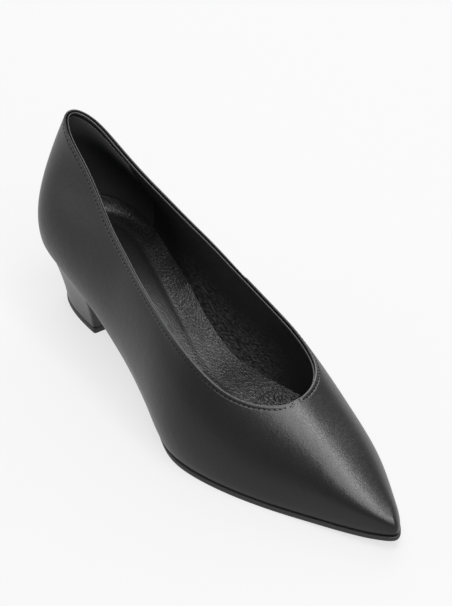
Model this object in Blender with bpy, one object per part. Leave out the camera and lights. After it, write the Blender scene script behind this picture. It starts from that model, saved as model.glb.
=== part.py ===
"""Right shoe: a high-cut pump with a pointed toe on a low leather-covered block heel.

The upper is one hollow wall, skinned round the last from a table of cross sections. The outsole,
insole, heel block and top lift are slabs cut to the same outline. Every size below is in
millimetres, in the last's own frame: x runs from the back of the heel seat to the toe, y to the
medial side, z up from the floor. The finished shoe is centred over the origin, in metres.
"""
import bmesh
import bpy
import numpy as np
from collections import namedtuple

MM = 0.001
LATERAL, MEDIAL = -1, 1

# Driving sizes of the shoe
LENGTH = 262.0          # heel seat to toe tip along the feather line, EU 38 with a pointed toe
TOE_TIP_Y = 3.5         # the toe points a little to the medial side
WALL = 1.6              # upper leather and lining together
GAP = 0.3               # clearance where two curved pieces meet
SOLE_THICK = 2.2
SOLE_EDGE_SHARE = 0.6   # share of the sole edge that stands upright
SOLE_BEVEL = 0.8        # below that the edge is trimmed in by this much
SOLE_EDGE_OUT = 0.4     # the sole shows past the upper at the forefoot
SOLE_EDGE_IN = 2.4      # and is tucked in under the waist
WAIST_X = (118.0, 160.0)
INSOLE_THICK = 2.5
THROAT_X = 194.0        # where the topline crosses the vamp ridge

# Heel block and top lift
BREAST_X = 55.5         # front of the heel under the seat
SEAT_INSET = 1.6        # heel cover edge inside the feather line
LIFT_BACK, LIFT_FRONT = 7.2, 48.0
LIFT_HALF_WIDTH = 17.3
LIFT_SQUARENESS = 2.4   # exponent of the super-ellipse at the back of the lift
LIFT_THICK = 3.2
HEEL_WAIST = 0.9        # the heel sides draw in a little between seat and lift

# Height of the feather line above the floor. The ball rows are level, so the sole lies flat there.
FloorRow = namedtuple("FloorRow", "x height")
FEATHER_FLAT = SOLE_THICK + GAP
FEATHER_HEIGHT = (
    FloorRow(0.0, 38.0),
    FloorRow(30.0, 35.1),
    FloorRow(60.0, 28.7),
    FloorRow(90.0, 17.4),
    FloorRow(120.0, 6.5),
    FloorRow(150.0, 2.9),
    FloorRow(174.0, FEATHER_FLAT),
    FloorRow(204.0, FEATHER_FLAT),
    FloorRow(232.0, 3.8),
    FloorRow(250.0, 5.2),
    FloorRow(LENGTH, 7.2),
)

# Cross sections of the last. Each side is a cubic curve from the feather line to the top.
#   lateral, medial  feather half widths        bulge, rise  lower handle, out and up
#   gap, ridge       half gap and side shift of the curve's top      crown  its height
#   drop, shoulder   upper handle, down, and out as a share of the width from the ridge
#   full             how much the lateral side is filled out, from zero to one
Section = namedtuple("Section", "x lateral medial bulge rise gap ridge crown drop shoulder full")
SECTIONS = (
    Section(30.0, 26.8, 27.6, 8.0, 25.7, 8.3, 0.0, 63.7, 27.7, 0.04, 0.0),
    Section(60.0, 28.0, 24.1, 7.8, 24.9, 8.7, 0.0, 62.6, 20.8, 0.23, 0.0),
    Section(90.0, 29.5, 20.1, 7.9, 23.8, 11.5, 0.0, 65.3, 16.6, 0.42, 0.0),
    Section(120.0, 35.2, 22.0, 7.3, 22.2, 10.3, 0.0, 67.5, 6.1, 0.62, 0.0),
    Section(150.0, 42.0, 31.8, 5.2, 20.0, 0.0, 0.0, 64.8, 0.0, 0.80, 0.0),
    Section(175.0, 38.6, 33.8, 2.9, 17.3, 0.0, 0.3, 50.9, 0.0, 0.79, 0.0),
    Section(195.0, 31.6, 32.4, 2.0, 15.0, 0.0, 1.2, 40.1, 0.0, 0.72, 0.0),
    Section(215.0, 22.4, 28.1, 1.5, 12.6, 0.0, 2.4, 30.5, 0.0, 0.72, 0.15),
    Section(232.0, 14.4, 21.7, 1.1, 10.3, 0.0, 3.2, 22.2, 0.0, 0.70, 0.73),
    Section(246.0, 7.5, 15.2, 0.9, 8.4, 0.0, 3.5, 15.2, 0.0, 0.68, 1.0),
    Section(256.0, 2.1, 9.8, 0.8, 6.4, 0.0, 3.5, 10.4, 0.0, 0.66, 1.0),
)
FULL_SHOULDER, FULL_RISE = 0.26, 0.3    # what filling out adds to a side's handles

# Profiles at the two ends of the last, as four handles: distance along x, height above the feather
Handle = namedtuple("Handle", "x height")
TOE_PROFILE = (
    Handle(LENGTH, 0.0), Handle(LENGTH + 0.9, 4.0), Handle(LENGTH, 7.3), Handle(LENGTH - 2.8, 8.4),
)
BACK_PROFILE = (
    Handle(0.0, 0.0), Handle(-7.8, 22.6), Handle(-5.0, 42.2), Handle(6.6, 61.0),
)
HEEL_FAN = (30.0, 60.0)   # extra columns round the back, degrees from the first section

# Topline: where a smooth cut meets the last. The cut's height above the floor is given over the
# middle of the shoe, with its rise for each millimetre towards the medial side.
TopRow = namedtuple("TopRow", "x middle slope")
TOPLINE = (
    TopRow(0.0, 99.7, 0.24),
    TopRow(30.0, 89.4, 0.22),
    TopRow(65.0, 75.3, 0.16),
    TopRow(100.0, 64.6, 0.08),
    TopRow(130.0, 56.8, 0.01),
    TopRow(155.0, 49.2, -0.02),
    TopRow(175.0, 43.7, 0.01),
    TopRow(187.0, 42.8, 0.06),
)
THROAT_SLOPE = 0.1        # the cut's rise to the medial side at the throat

# Mesh fineness: columns along the shoe, rows up the wall, steps round the rim, ribs across a plate
VAMP_COLUMNS, QUARTER_COLUMNS = 18, 36
WALL_ROWS, RIM_STEPS = 12, 4
PLATE_VAMP_RIBS, PLATE_WAIST_RIBS = 22, 30
SEAT_RIBS, HEEL_LEVELS = 14, 4
VAMP_CROWD, QUARTER_CROWD, PLATE_CROWD = 0.55, 0.72, 0.5
THROAT_SHARES = (0.04, 0.16, 0.36, 0.64)    # extra columns behind the throat, where the topline turns
SEAT_CROWD = 0.9        # below one, the heel's ribs crowd to the back
KNOT_POWER = 0.8        # below one, short steps of the outline count for more
TIP_BLUNT, BACK_BLUNT = 0.35, 0.05      # column steps left off the two ends of a plate
BACK_EDGE_HALF = 0.25   # half width of the blunt back edge of heel and lift

# Steps for slopes and searches on the last
STEP_T, STEP_V = 1e-5, 1e-4
RIDGE_V = 0.997         # normals along the ridge are read just below it
TOP_SAMPLES, HALVINGS = 400, 50
FEATHER, RIDGE = 0, 3   # first and last handle of a column


class Spline:
    """Cubic spline through values at knots, natural at the ends or closed into a loop."""

    def __init__(self, knots, values, closed=False):
        self.knots = np.asarray(knots, float)
        self.values = np.asarray(values, float).reshape(len(self.knots), -1)
        self.closed = closed
        step = np.diff(self.knots)
        slope = np.diff(self.values, axis=0) / step[:, None]
        count = len(step)
        system = np.zeros((count + 1, count + 1))
        target = np.zeros_like(self.values)
        for i in range(1, count):
            system[i, i - 1:i + 2] = step[i - 1], 2 * (step[i - 1] + step[i]), step[i]
            target[i] = 6 * (slope[i] - slope[i - 1])
        if closed:
            system[0, [count - 1, 0, 1]] = step[-1], 2 * (step[-1] + step[0]), step[0]
            target[0] = 6 * (slope[0] - slope[-1])
            system[count, [0, count]] = 1, -1
        else:
            system[0, 0] = system[count, count] = 1
        self.bend = np.linalg.solve(system, target)

    def __call__(self, at):
        at = np.asarray(at, float)
        if self.closed:
            at = np.mod(at, self.knots[-1])
        i = np.clip(np.searchsorted(self.knots, at, side="right") - 1, 0, len(self.knots) - 2)
        step = (self.knots[i + 1] - self.knots[i])[:, None]
        b = (at[:, None] - self.knots[i][:, None]) / step
        a = 1 - b
        curve = (a ** 3 - a) * self.bend[i] + (b ** 3 - b) * self.bend[i + 1]
        return a * self.values[i] + b * self.values[i + 1] + curve * step ** 2 / 6


def level_curve(rows, at):
    """Height along x through table rows, without overshoot, so that level rows stay level."""
    x = np.array([row.x for row in rows])
    z = np.array([row.height for row in rows])
    step, slope = np.diff(x), np.diff(z) / np.diff(x)
    product = slope[:-1] * slope[1:]
    total = slope[:-1] + slope[1:]
    inner = np.where(product > 0, 2 * product / np.where(total == 0, 1, total), 0.0)
    tangent = np.concatenate([slope[:1], inner, slope[-1:]])
    i = np.clip(np.searchsorted(x, at, side="right") - 1, 0, len(x) - 2)
    s = (at - x[i]) / step[i]
    start = (1 + 2 * s) * (1 - s) ** 2 * z[i] + s * (1 - s) ** 2 * step[i] * tangent[i]
    end = s * s * (3 - 2 * s) * z[i + 1] + s * s * (s - 1) * step[i] * tangent[i + 1]
    return start + end


def feather_height(x):
    return level_curve(FEATHER_HEIGHT, np.clip(x, 0.0, LENGTH))


def section_column(row, side):
    """Four handles of one side of a cross section: x, y and height above the feather line."""
    half = row.lateral if side == LATERAL else row.medial
    full = row.full if side == LATERAL else 0.0
    shoulder = row.shoulder + FULL_SHOULDER * full
    top_y = side * row.gap + row.ridge
    return [
        (row.x, side * half, 0.0),
        (row.x, side * (half + row.bulge), row.rise * (1 + FULL_RISE * full)),
        (row.x, top_y + shoulder * (side * half - row.ridge), row.crown - row.drop),
        (row.x, top_y, row.crown),
    ]


def heel_fan_column(first, back, degrees):
    """A column part of the way round the back, on the ellipse through its two neighbours."""
    along, across = np.sin(np.radians(degrees)), np.cos(np.radians(degrees))
    return [
        (f[0] + (b[0] - f[0]) * along, f[1] * across, f[2] + (b[2] - f[2]) * along ** 2)
        for f, b in zip(first, back)
    ]


class Last:
    """The outer surface of the upper: column position t round the shoe, v from feather to top.

    t = 0 is the toe tip, t rises along the lateral side to the back at half, and returns along the
    medial side. The two sides are spaced alike, so t and -t face each other across the shoe.
    """

    def __init__(self):
        tip = [(h.x, TOE_TIP_Y, h.height) for h in TOE_PROFILE]
        back = [(h.x, 0.0, h.height) for h in BACK_PROFILE]
        sides = {}
        for side in (LATERAL, MEDIAL):
            columns = [section_column(row, side) for row in SECTIONS]
            fan = [heel_fan_column(columns[0], back, angle) for angle in HEEL_FAN]
            sides[side] = columns[::-1] + fan
        loop = np.array([tip] + sides[LATERAL] + [back] + sides[MEDIAL][::-1] + [tip])
        chord = np.linalg.norm(np.diff(loop[:, 0, :2], axis=0), axis=1)
        step = ((chord + chord[::-1]) / 2) ** KNOT_POWER
        knots = np.concatenate([[0.0], np.cumsum(step)])
        self.period, self.half = knots[-1], knots[-1] / 2
        self.handles = Spline(knots, loop, closed=True)
        self.throat = self.column_where(THROAT_X, RIDGE)
        ridge_top = self.point(np.array([self.throat]), np.array([1.0]))[0]
        throat_row = TopRow(ridge_top[0], ridge_top[2] - THROAT_SLOPE * ridge_top[1], THROAT_SLOPE)
        rows = np.array(TOPLINE + (throat_row,))
        self.topline = Spline(rows[:, 0], rows[:, 1:])

    def column_where(self, x, handle):
        """Lateral column of which the given handle lies at x, by halving."""
        low, high = 0.0, self.half
        for _ in range(HALVINGS):
            middle = (low + high) / 2
            ahead = self.handles(np.array([middle])).reshape(4, 3)[handle, 0] > x
            low, high = (middle, high) if ahead else (low, middle)
        return (low + high) / 2

    def column(self, t):
        """The four handles of each column, in the shoe's frame."""
        handles = self.handles(t).reshape(-1, 4, 3)
        facing = self.handles(-np.asarray(t)).reshape(-1, 4, 3)
        turn = np.mod(t, self.period)
        vamp = (turn <= self.throat) | (turn >= self.period - self.throat)
        handles[vamp, RIDGE] = (handles[vamp, RIDGE] + facing[vamp, RIDGE]) / 2
        handles[:, :, 2] += feather_height(handles[:, FEATHER, 0])[:, None]
        return handles

    def point(self, t, v):
        handles, v = self.column(t), np.asarray(v, float)[:, None]
        weights = [(1 - v) ** 3, 3 * v * (1 - v) ** 2, 3 * v * v * (1 - v), v ** 3]
        return sum(w * handles[:, k] for k, w in enumerate(weights))

    def normal(self, t, v):
        """Unit outward normal, from differences along both directions."""
        t, v = np.asarray(t, float), np.minimum(v, RIDGE_V)
        step = STEP_T * self.period
        low, high = np.clip(v - STEP_V, 0, 1), np.clip(v + STEP_V, 0, 1)
        along = self.point(t + step, v) - self.point(t - step, v)
        up = self.point(t, high) - self.point(t, low)
        outward = np.cross(up, along)
        return outward / np.linalg.norm(outward, axis=1)[:, None]

    def top_share(self, t):
        """Share v of a column at which it meets the topline; one all along the vamp ridge."""
        turn = np.mod(t, self.period)
        if min(turn, self.period - turn) <= self.throat + STEP_T:
            return 1.0
        v = np.linspace(0, 1, TOP_SAMPLES)
        points = self.point(np.full(len(v), t), v)
        middle, slope = self.topline(points[:, 0]).T
        above = points[:, 2] - middle - slope * points[:, 1]
        first = int(np.argmax(above > 0))
        if above[first] <= 0:
            return 1.0
        share = above[first - 1] / (above[first - 1] - above[first])
        return float(v[first - 1] + share * (v[first] - v[first - 1]))


def spread(start, stop, count, crowd):
    """Positions from start to stop, crowded towards both ends."""
    s = np.linspace(0, 1, count + 1)
    return start + (stop - start) * (s - crowd * np.sin(2 * np.pi * s) / (2 * np.pi))


def column_positions(last):
    """Column places round the shoe: tip, lateral vamp, lateral quarter, back, and the same back."""
    vamp = spread(0.0, last.throat, VAMP_COLUMNS, VAMP_CROWD)
    quarter = spread(last.throat, last.half, QUARTER_COLUMNS, QUARTER_CROWD)
    turning = last.throat + (quarter[1] - last.throat) * np.array(THROAT_SHARES)
    lateral = np.concatenate([vamp, turning, quarter[1:]])
    return np.concatenate([lateral, last.period - lateral[-2:0:-1]])


def unit(vectors):
    return vectors / np.linalg.norm(vectors, axis=1)[:, None]


class Shell:
    """Points and faces of one solid, laid down row by row."""

    def __init__(self):
        self.verts, self.faces = [], []

    def lay(self, points, shared):
        """Add a row of points and return their indices; shared maps a place to an earlier place."""
        index = []
        for k, point in enumerate(points):
            if k in shared:
                index.append(index[shared[k]])
            else:
                index.append(len(self.verts))
                self.verts.append(point)
        return index

    def strip(self, low, high, closed):
        """Faces between two rows, without the corners that two rows share."""
        for k in range(len(low) if closed else len(low) - 1):
            n = (k + 1) % len(low)
            corners = [low[k], low[n], high[n], high[k]]
            corners = [v for i, v in enumerate(corners) if v != corners[i - 1]]
            if len(corners) > 2:
                self.faces.append(corners)


def upper_skins(last, t):
    """Rows of points of the outer and the inner skin, from the feather line to the top."""
    top = np.array([last.top_share(value) for value in t])
    outer, inner = [], []
    for share in np.linspace(0, 1, WALL_ROWS + 1):
        point, normal = last.point(t, top * share), last.normal(t, top * share)
        outer.append(point)
        inner.append(point - WALL * normal)
    inner[0][:, 2] = feather_height(inner[0][:, 0])
    return outer, inner


def rim_rows(edge_out, edge_in):
    """Points of the half-round rim between the tops of the two skins."""
    middle, reach = (edge_out + edge_in) / 2, (edge_out - edge_in) / 2
    run = np.gradient(np.vstack([edge_out[-2:-1], edge_out, edge_out[1:2]]), axis=0)[1:-1]
    upward = unit(np.cross(reach, run)) * WALL / 2
    angles = np.linspace(0, np.pi, RIM_STEPS + 1)[1:-1]
    return [middle + np.cos(a) * reach + np.sin(a) * upward for a in angles]


def build_upper(last):
    """One hollow wall: outer skin, rounded rim at the topline, inner skin, narrow lower edge."""
    t = column_positions(last)
    count = len(t)
    outer, inner = upper_skins(last, t)
    facing = [-k % count for k in range(count)]
    vamp = [k for k in range(count) if min(k, count - k) <= VAMP_COLUMNS]
    across = [facing[k] for k in vamp]
    ridge_pairs = {k: facing[k] for k in vamp if facing[k] < k}
    shell, skins = Shell(), []
    for skin in (outer, inner):
        skin[-1][vamp] = (skin[-1][vamp] + skin[-1][across]) / 2
        rows = [shell.lay(row, {}) for row in skin[:-1]] + [shell.lay(skin[-1], ridge_pairs)]
        for low, high in zip(rows, rows[1:]):
            shell.strip(low, high, closed=True)
        skins.append(rows)
    shell.strip(skins[0][0], skins[1][0], closed=True)

    collar = list(range(VAMP_COLUMNS, count - VAMP_COLUMNS + 1))
    ends_meet = {len(collar) - 1: 0}
    rim = [[skins[0][-1][k] for k in collar]]
    rim += [shell.lay(row, ends_meet) for row in rim_rows(outer[-1][collar], inner[-1][collar])]
    rim.append([skins[1][-1][k] for k in collar])
    for low, high in zip(rim, rim[1:]):
        shell.strip(low, high, closed=False)
    return np.array(shell.verts), shell.faces


def feather_outline(last, t, inset):
    """Plan points of the feather line at columns t, moved in by inset."""
    step = STEP_T * last.period
    run = unit((last.column(t + step)[:, FEATHER] - last.column(t - step)[:, FEATHER])[:, :2])
    inward = np.stack([run[:, 1], -run[:, 0]], axis=1)
    return last.column(t)[:, FEATHER, :2] + inward * np.reshape(inset, (-1, 1))


def plate_ring(last, t, inset, drop):
    """Ring down the lateral side in the order of t and back up the medial side, at the height of
    the feather line less drop."""
    lateral, medial = [feather_outline(last, places, inset) for places in (t, last.period - t)]
    plan = np.vstack([lateral, medial[::-1]])
    return np.column_stack([plan, feather_height(plan[:, 0]) - drop])


def plate_columns(last, end):
    """Column places of a plate, from just behind the toe tip to the given end."""
    vamp = spread(TIP_BLUNT, last.throat, PLATE_VAMP_RIBS, PLATE_CROWD)
    return np.concatenate([vamp, spread(last.throat, end, PLATE_WAIST_RIBS, PLATE_CROWD)[1:]])


def slab(rings):
    """Close a stack of rings into a solid. Each ring runs down one side and back up the other,
    so that place k faces place -k-1, and the first and last rings are capped by ribs across."""
    verts = np.vstack(rings)
    size, faces = len(rings[0]), []
    for level in range(len(rings) - 1):
        base = level * size
        for k in range(size):
            n = (k + 1) % size
            faces.append([base + k, base + n, base + size + n, base + size + k])
    for base in (0, (len(rings) - 1) * size):
        for k in range(size // 2 - 1):
            faces.append([base + k, base + k + 1, base + size - k - 2, base + size - k - 1])
    return verts, faces


def build_insole(last):
    """A plate filling the inside of the upper at its lower edge."""
    t = plate_columns(last, last.half - BACK_BLUNT)
    return slab([plate_ring(last, t, WALL + GAP, drop) for drop in (-INSOLE_THICK, 0.0)])


def build_outsole(last):
    """Sole from the toe to the heel breast, level under the ball, with a trimmed bottom edge."""
    t = plate_columns(last, last.column_where(BREAST_X + GAP, FEATHER))
    x = last.column(t)[:, FEATHER, 0]
    tuck = 1 - np.clip((x - WAIST_X[0]) / (WAIST_X[1] - WAIST_X[0]), 0, 1)
    inset = -SOLE_EDGE_OUT + (SOLE_EDGE_OUT + SOLE_EDGE_IN) * tuck * tuck * (3 - 2 * tuck)
    upright = SOLE_EDGE_SHARE * SOLE_THICK
    return slab([
        plate_ring(last, t, inset, GAP),
        plate_ring(last, t, inset, GAP + upright),
        plate_ring(last, t, inset + SOLE_BEVEL, GAP + SOLE_THICK),
    ])


def lift_ring(height):
    """Outline of the lift: straight at the breast, and half a super-ellipse round the back."""
    angle = np.linspace(np.pi / 2, 0, SEAT_RIBS + 1)
    power = 2 / LIFT_SQUARENESS
    along = LIFT_FRONT - (LIFT_FRONT - LIFT_BACK) * np.cos(angle) ** power
    half_width = np.maximum(LIFT_HALF_WIDTH * np.sin(angle) ** power, BACK_EDGE_HALF)
    lateral = np.column_stack([along, -half_width, np.full(len(along), height)])
    return np.vstack([lateral, (lateral * (1, -1, 1))[::-1]])


def build_heel(last):
    """Block heel from the seat down to the lift, its sides drawn in a little half way."""
    breast = last.column_where(BREAST_X, FEATHER)
    shares = np.linspace(0, 1, SEAT_RIBS + 1) ** SEAT_CROWD
    seat = plate_ring(last, breast + (last.half - BACK_BLUNT - breast) * shares, SEAT_INSET, GAP)
    foot = lift_ring(LIFT_THICK + GAP)
    centre = np.array([(LIFT_BACK + LIFT_FRONT) / 2, 0.0])
    rings = []
    for share in np.linspace(0, 1, HEEL_LEVELS + 1):
        level = seat * (1 - share) + foot * share
        level[:, :2] += unit(centre - level[:, :2]) * HEEL_WAIST * 4 * share * (1 - share)
        rings.append(level)
    return slab(rings)


def build_top_lift():
    """Flat wearing piece under the heel block."""
    return slab([lift_ring(height) for height in (LIFT_THICK, 0.0)])


# Look of the plain solids
Piece = namedtuple("Piece", "name colour roughness")
PIECES = (
    Piece("upper", (0.020, 0.020, 0.021), 0.42),
    Piece("outsole", (0.016, 0.016, 0.016), 0.55),
    Piece("insole", (0.024, 0.024, 0.025), 0.38),
    Piece("heel", (0.020, 0.020, 0.021), 0.42),
    Piece("top_lift", (0.014, 0.014, 0.014), 0.60),
)


def add_solid(piece, verts, faces):
    mesh = bpy.data.meshes.new(piece.name)
    mesh.from_pydata((verts * MM).tolist(), [], faces)
    shape = bmesh.new()
    shape.from_mesh(mesh)
    bmesh.ops.triangulate(shape, faces=shape.faces)
    bmesh.ops.recalc_face_normals(shape, faces=shape.faces)
    shape.to_mesh(mesh)
    shape.free()
    material = bpy.data.materials.new(piece.name + "_black")
    material.use_nodes = True
    surface = material.node_tree.nodes["Principled BSDF"]
    surface.inputs["Base Color"].default_value = (*piece.colour, 1.0)
    surface.inputs["Roughness"].default_value = piece.roughness
    mesh.materials.append(material)
    bpy.context.collection.objects.link(bpy.data.objects.new(piece.name, mesh))


def main():
    for old in list(bpy.data.objects):
        bpy.data.objects.remove(old)
    last = Last()
    solids = {
        "upper": build_upper(last),
        "outsole": build_outsole(last),
        "insole": build_insole(last),
        "heel": build_heel(last),
        "top_lift": build_top_lift(),
    }
    everything = np.vstack([verts for verts, _ in solids.values()])
    low, high = everything.min(axis=0), everything.max(axis=0)
    origin = np.array([(low[0] + high[0]) / 2, (low[1] + high[1]) / 2, low[2]])
    for piece in PIECES:
        verts, faces = solids[piece.name]
        add_solid(piece, verts - origin, faces)


main()
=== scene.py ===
"""Looks of a right pump with a pointed toe and a low block heel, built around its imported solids.

The outer leather, lining, heel grip, sock, sole, heel cover, lift and stitching are all taken from
one surface, the shoe's last, worked out from a table of cross sections. Tables and shapes are in
millimetres, in the last's own frame: x from the back of the heel seat to the toe, y to the medial
side, z up from the floor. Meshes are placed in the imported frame, in metres.
"""

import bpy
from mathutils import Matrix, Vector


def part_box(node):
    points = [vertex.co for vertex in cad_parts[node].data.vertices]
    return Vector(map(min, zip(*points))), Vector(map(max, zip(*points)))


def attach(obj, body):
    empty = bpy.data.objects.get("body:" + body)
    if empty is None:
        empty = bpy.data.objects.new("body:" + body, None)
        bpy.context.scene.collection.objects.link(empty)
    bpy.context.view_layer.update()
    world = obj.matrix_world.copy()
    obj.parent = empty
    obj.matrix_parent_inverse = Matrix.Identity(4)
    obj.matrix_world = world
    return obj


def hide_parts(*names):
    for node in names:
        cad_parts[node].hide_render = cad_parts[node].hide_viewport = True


bl_info = {
    "name": "Block-heel pump",
    "version": (1, 0, 0),
    "blender": (4, 5, 0),
    "location": "View3D > Sidebar > Pump",
    "description": "Builds the leather, lining, sock, sole and heel of a right block-heel pump",
    "category": "Object",
}

from collections import namedtuple

import bmesh
import bpy
import numpy as np
from bpy.props import FloatProperty, FloatVectorProperty, PointerProperty
from mathutils import Matrix, Vector

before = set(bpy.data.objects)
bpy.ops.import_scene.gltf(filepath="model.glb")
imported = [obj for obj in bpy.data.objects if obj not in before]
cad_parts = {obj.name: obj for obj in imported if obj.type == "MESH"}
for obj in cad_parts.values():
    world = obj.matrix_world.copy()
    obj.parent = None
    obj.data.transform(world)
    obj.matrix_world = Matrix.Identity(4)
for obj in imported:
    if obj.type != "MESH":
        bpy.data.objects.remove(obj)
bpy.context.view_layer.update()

MM = 0.001
LATERAL, MEDIAL = -1, 1

# Driving sizes of the last and the bottom, in millimetres
LENGTH = 262.0
TOE_TIP_Y = 3.5
GAP = 0.3
SOLE_THICK = 2.2
SOLE_EDGE_OUT, SOLE_EDGE_IN = 0.4, 2.4
WAIST_X = (118.0, 160.0)
THROAT_X = 194.0
BREAST_X = 55.5
SEAT_INSET = 1.6
LIFT_BACK, LIFT_FRONT = 7.2, 48.0
LIFT_HALF_WIDTH, LIFT_SQUARENESS, LIFT_THICK = 17.3, 2.4, 3.2
HEEL_WAIST = 0.9

# Height of the feather line, where the upper meets the sole
FloorRow = namedtuple("FloorRow", "x height")
FEATHER_FLAT = SOLE_THICK + GAP
FEATHER_HEIGHT = (
    FloorRow(0.0, 38.0),
    FloorRow(30.0, 35.1),
    FloorRow(60.0, 28.7),
    FloorRow(90.0, 17.4),
    FloorRow(120.0, 6.5),
    FloorRow(150.0, 2.9),
    FloorRow(174.0, FEATHER_FLAT),
    FloorRow(204.0, FEATHER_FLAT),
    FloorRow(232.0, 3.8),
    FloorRow(250.0, 5.2),
    FloorRow(LENGTH, 7.2),
)

# Cross sections of the last. Each side is a cubic curve from the feather line to the top.
#   lateral, medial  feather half widths        bulge, rise  lower handle, out and up
#   gap, ridge       half gap and side shift of the curve's top      crown  its height
#   drop, shoulder   upper handle, down, and out as a share of the width from the ridge
#   full             how much the lateral side is filled out, from zero to one
Section = namedtuple("Section", "x lateral medial bulge rise gap ridge crown drop shoulder full")
SECTIONS = (
    Section(30.0, 26.8, 27.6, 8.0, 25.7, 8.3, 0.0, 63.7, 27.7, 0.04, 0.0),
    Section(60.0, 28.0, 24.1, 7.8, 24.9, 8.7, 0.0, 62.6, 20.8, 0.23, 0.0),
    Section(90.0, 29.5, 20.1, 7.9, 23.8, 11.5, 0.0, 65.3, 16.6, 0.42, 0.0),
    Section(120.0, 35.2, 22.0, 7.3, 22.2, 10.3, 0.0, 67.5, 6.1, 0.62, 0.0),
    Section(150.0, 42.0, 31.8, 5.2, 20.0, 0.0, 0.0, 64.8, 0.0, 0.80, 0.0),
    Section(175.0, 38.6, 33.8, 2.9, 17.3, 0.0, 0.3, 50.9, 0.0, 0.79, 0.0),
    Section(195.0, 31.6, 32.4, 2.0, 15.0, 0.0, 1.2, 40.1, 0.0, 0.72, 0.0),
    Section(215.0, 22.4, 28.1, 1.5, 12.6, 0.0, 2.4, 30.5, 0.0, 0.72, 0.15),
    Section(232.0, 14.4, 21.7, 1.1, 10.3, 0.0, 3.2, 22.2, 0.0, 0.70, 0.73),
    Section(246.0, 7.5, 15.2, 0.9, 8.4, 0.0, 3.5, 15.2, 0.0, 0.68, 1.0),
    Section(256.0, 2.1, 9.8, 0.8, 6.4, 0.0, 3.5, 10.4, 0.0, 0.66, 1.0),
)
FULL_SHOULDER, FULL_RISE = 0.26, 0.3    # what filling out adds to a side's handles
Handle = namedtuple("Handle", "x height")
TOE_PROFILE = (
    Handle(LENGTH, 0.0), Handle(LENGTH + 0.9, 4.0), Handle(LENGTH, 7.3), Handle(LENGTH - 2.8, 8.4),
)
BACK_PROFILE = (
    Handle(0.0, 0.0), Handle(-7.8, 22.6), Handle(-5.0, 42.2), Handle(6.6, 61.0),
)
HEEL_FAN = (30.0, 60.0)

# Topline: where a smooth cut meets the last. The cut's height above the floor is given over the
# middle of the shoe, with its rise for each millimetre towards the medial side.
TopRow = namedtuple("TopRow", "x middle slope")
TOPLINE = (
    TopRow(0.0, 99.7, 0.24),
    TopRow(30.0, 89.4, 0.22),
    TopRow(65.0, 75.3, 0.16),
    TopRow(100.0, 64.6, 0.08),
    TopRow(130.0, 56.8, 0.01),
    TopRow(155.0, 49.2, -0.02),
    TopRow(175.0, 43.7, 0.01),
    TopRow(187.0, 42.8, 0.06),
)
THROAT_SLOPE = 0.1
KNOT_POWER = 0.8

# Fineness of the work on the last: steps for slopes, which are taken just below the vamp ridge,
# samples in search of the topline, halvings, and how the columns are spaced
STEP_T, STEP_V, RIDGE_V = 1e-5, 1e-4, 0.997
TOP_SAMPLES, HALVINGS = 400, 50
VAMP_CROWD, QUARTER_EASE = 0.55, 0.6
FEATHER, RIDGE = 0, 3         # a column's first and last handle

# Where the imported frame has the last's own origin: the lift's front edge and middle give it
lift_low, lift_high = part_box("top_lift")
ORIGIN = np.array([lift_high.x / MM - LIFT_FRONT, (lift_low.y + lift_high.y) / 2 / MM, 0.0])

# The wall's roll under the last at its lower edge
ROLL_RISE, ROLL_HEEL, ROLL_FOREFOOT = 4.2, 1.7, 0.9

# Photograph's frame, and the camera that it was taken with
PHOTO_SIZE = (452, 606)
Shot = namedtuple("Shot", "azimuth elevation roll distance target pixel scale")
SHOT = Shot(56.7, 36.2, -1.55, 1806.0, (130.0, 0.0, 35.0), (220.0, 344.6), 2.18)


def linear(code):
    """Linear colour of an sRGB hex value."""
    shares = [int(code[i:i + 2], 16) / 255 for i in (1, 3, 5)]
    return [c / 12.92 if c <= 0.04045 else ((c + 0.055) / 1.055) ** 2.4 for c in shares]


def smooth_step(value, low, high):
    """Soft step from zero at low to one at high."""
    s = np.clip((value - low) / (high - low), 0, 1)
    return s * s * (3 - 2 * s)


def bump_curve(value, middle, width):
    """A soft hill of height one."""
    return np.exp(-((value - middle) / width) ** 2)


def unit(vectors):
    """Vectors brought to length one."""
    return vectors / np.linalg.norm(vectors, axis=-1, keepdims=True)


class Spline:
    """Cubic spline through values at knots, natural at the ends or closed into a loop."""

    def __init__(self, knots, values, closed=False):
        self.knots = np.asarray(knots, float)
        self.values = np.asarray(values, float).reshape(len(self.knots), -1)
        self.closed = closed
        step = np.diff(self.knots)
        slope = np.diff(self.values, axis=0) / step[:, None]
        count = len(step)
        system = np.zeros((count + 1, count + 1))
        target = np.zeros_like(self.values)
        for i in range(1, count):
            system[i, i - 1:i + 2] = step[i - 1], 2 * (step[i - 1] + step[i]), step[i]
            target[i] = 6 * (slope[i] - slope[i - 1])
        if closed:
            system[0, [count - 1, 0, 1]] = step[-1], 2 * (step[-1] + step[0]), step[0]
            target[0] = 6 * (slope[0] - slope[-1])
            system[count, [0, count]] = 1, -1
        else:
            system[0, 0] = system[count, count] = 1
        self.bend = np.linalg.solve(system, target)

    def __call__(self, at):
        at = np.asarray(at, float)
        if self.closed:
            at = np.mod(at, self.knots[-1])
        i = np.clip(np.searchsorted(self.knots, at, side="right") - 1, 0, len(self.knots) - 2)
        step = (self.knots[i + 1] - self.knots[i])[:, None]
        b = (at[:, None] - self.knots[i][:, None]) / step
        a = 1 - b
        curve = (a ** 3 - a) * self.bend[i] + (b ** 3 - b) * self.bend[i + 1]
        return a * self.values[i] + b * self.values[i + 1] + curve * step ** 2 / 6


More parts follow.
